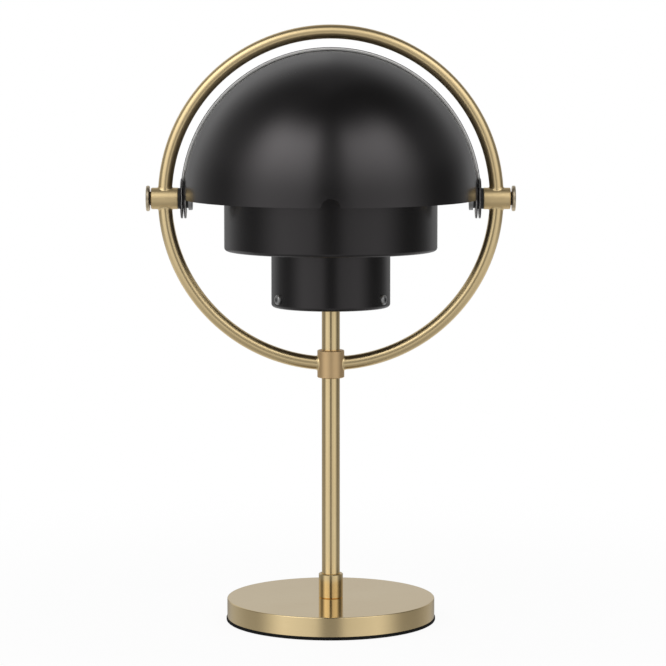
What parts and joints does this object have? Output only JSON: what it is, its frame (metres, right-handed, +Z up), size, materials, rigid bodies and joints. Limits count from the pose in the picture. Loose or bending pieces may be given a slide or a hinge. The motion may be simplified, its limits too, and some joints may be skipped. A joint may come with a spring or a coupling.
{
  "type": "portable table lamp",
  "caption": "Portable table lamp: round brass base, slim stem, and an upright brass ring carrying black quarter-sphere shades that swing round a stepped black drum.",
  "frame": {"origin": "on the standing surface, under the stem's axis at the middle of the foot pad", "axes": "+Z up along the stem, +X along the pivots to the lamp's right seen from the front, front towards -Y"},
  "size_m": [0.2108, 0.1698, 0.3427],
  "materials": {
    "satin_brass": "satin",
    "black_paint": "satin",
    "foot_rubber": "matte",
    "bright_steel": "satin",
    "plain_steel": "matte",
    "socket_steel": "satin",
    "milled_aluminium": "satin",
    "battery_foil": "satin",
    "black_nylon": "matte",
    "cable_jacket": "matte",
    "opal_acrylic": "satin",
    "white_nylon": "matte",
    "green_board": "satin",
    "white_board": "satin",
    "lamp_phosphor": "satin"
  },
  "bodies": {
    "stand": {"base_shell": "satin_brass", "base_collar": "satin_brass", "stem_tube": "satin_brass", "ring_collar": "satin_brass", "ring_upper_arc": "satin_brass", "ring_left_arc": "satin_brass", "ring_right_arc": "satin_brass", "left_pivot_block": "satin_brass", "right_pivot_block": "satin_brass", "drum": "black_paint", "lower_cup": "black_paint", "upper_cup": "black_paint", "foot_pad": "foot_rubber", "lower_cup_screws": "bright_steel", "upper_cup_screws": "bright_steel", "bracket_screws": "bright_steel", "plate_screws": "bright_steel", "collar_grub_screw": "bright_steel", "left_pivot_stud": "bright_steel", "right_pivot_stud": "bright_steel", "collar_nut": "bright_steel", "hub_nut": "bright_steel", "hub_standoffs": "bright_steel", "core_standoffs": "bright_steel", "upper_standoffs": "bright_steel", "base_plate": "plain_steel", "ballast_ring": "plain_steel", "charge_socket": "socket_steel", "stem_hub": "milled_aluminium", "carrier_plate": "milled_aluminium", "upper_bracket": "milled_aluminium", "battery_pack": "battery_foil", "knob_washers": "black_nylon", "pivot_spacers": "black_nylon", "friction_washers": "black_nylon", "inner_washers": "black_nylon", "button_switch": "black_nylon", "stem_connector": "black_nylon", "stem_cable": "cable_jacket", "led_cable": "cable_jacket", "battery_leads": "cable_jacket", "lower_ring_lens": "opal_acrylic", "upper_ring_lens": "opal_acrylic", "top_lens": "opal_acrylic", "lens_posts": "white_nylon", "control_board": "green_board", "driver_board": "green_board", "lower_led_board": "white_board", "upper_led_board": "white_board", "top_led_board": "white_board", "lower_leds": "lamp_phosphor", "upper_leds": "lamp_phosphor", "top_leds": "lamp_phosphor"},
    "front_shade": {"front_shade": "black_paint"},
    "rear_shade": {"rear_shade": "black_paint"},
    "left_knob": {"left_tension_knob": "satin_brass"},
    "right_knob": {"right_tension_knob": "satin_brass"},
    "dimmer_button": {"dimmer_button": "black_nylon"}
  },
  "joints": [
    {"name": "front_shade_swing", "type": "hinge", "parent": "stand", "child": "front_shade", "pos_m": [0, 0, 0.2439], "axis": [1, 0, 0], "range_deg": [-175, 88]},
    {"name": "rear_shade_swing", "type": "hinge", "parent": "stand", "child": "rear_shade", "pos_m": [0, 0, 0.2439], "axis": [-1, 0, 0], "range_deg": [-175, 88]},
    {"name": "left_knob_turn", "type": "hinge", "parent": "stand", "child": "left_knob", "pos_m": [-0.10445, 0, 0.2439], "axis": [-1, 0, 0], "range_deg": [-180, 180]},
    {"name": "right_knob_turn", "type": "hinge", "parent": "stand", "child": "right_knob", "pos_m": [0.10445, 0, 0.2439], "axis": [1, 0, 0], "range_deg": [-180, 180]},
    {"name": "dimmer_press", "type": "slide", "parent": "stand", "child": "dimmer_button", "axis": [-0.4067, -0.9135, 0], "range_m": [0, 0.0006], "stiffness_N_per_m": 800, "springref_m": -0.0006}
  ]
}
